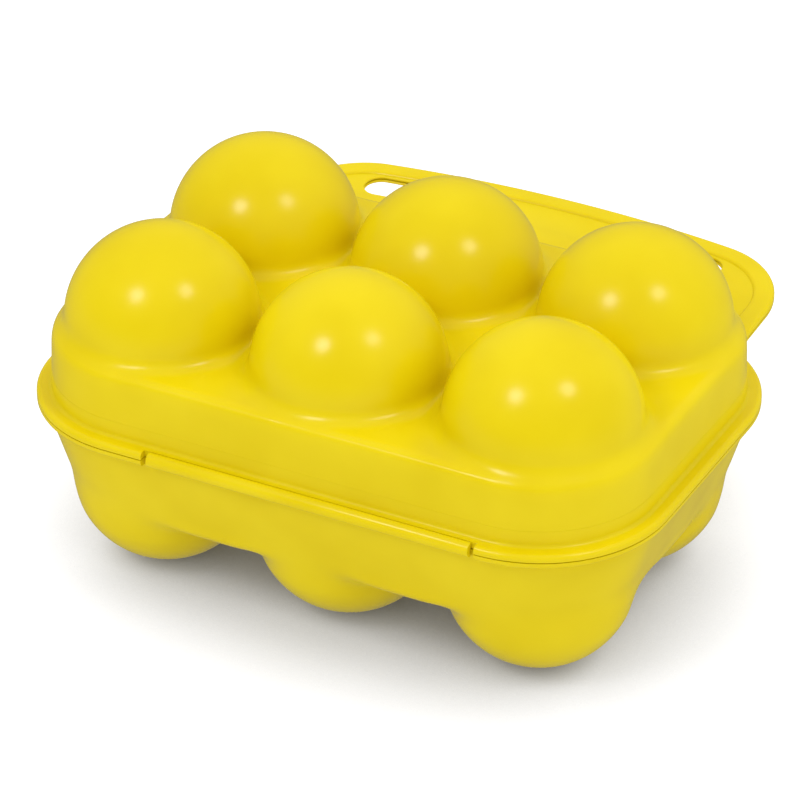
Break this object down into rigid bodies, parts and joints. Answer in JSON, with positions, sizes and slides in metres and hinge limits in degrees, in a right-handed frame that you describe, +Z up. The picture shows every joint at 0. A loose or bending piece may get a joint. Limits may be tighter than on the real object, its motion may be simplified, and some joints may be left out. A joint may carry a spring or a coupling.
{
  "type": "camping egg carrier",
  "caption": "Shut hard-plastic egg carrier: domed lid over a cupped base, joined at a flanged rim, with a front hinge strip and a slotted handle at the back.",
  "frame": {"origin": "on the floor under the middle of the whole, handle included, where the cups' flat spots rest", "axes": "+Z up; X along the carrier's length; -Y towards the hinge strip at the front, +Y towards the handle at the back"},
  "size_m": [0.1782, 0.1704, 0.0959],
  "materials": {
    "lid_plastic": "moulded yellow polyethylene, soft sheen",
    "base_plastic": "moulded yellow polyethylene, soft sheen",
    "hinge_plastic": "moulded yellow polyethylene, soft sheen"
  },
  "bodies": {
    "root": {"lid": "lid_plastic", "base": "base_plastic", "hinge": "hinge_plastic"}
  },
  "joints": []
}
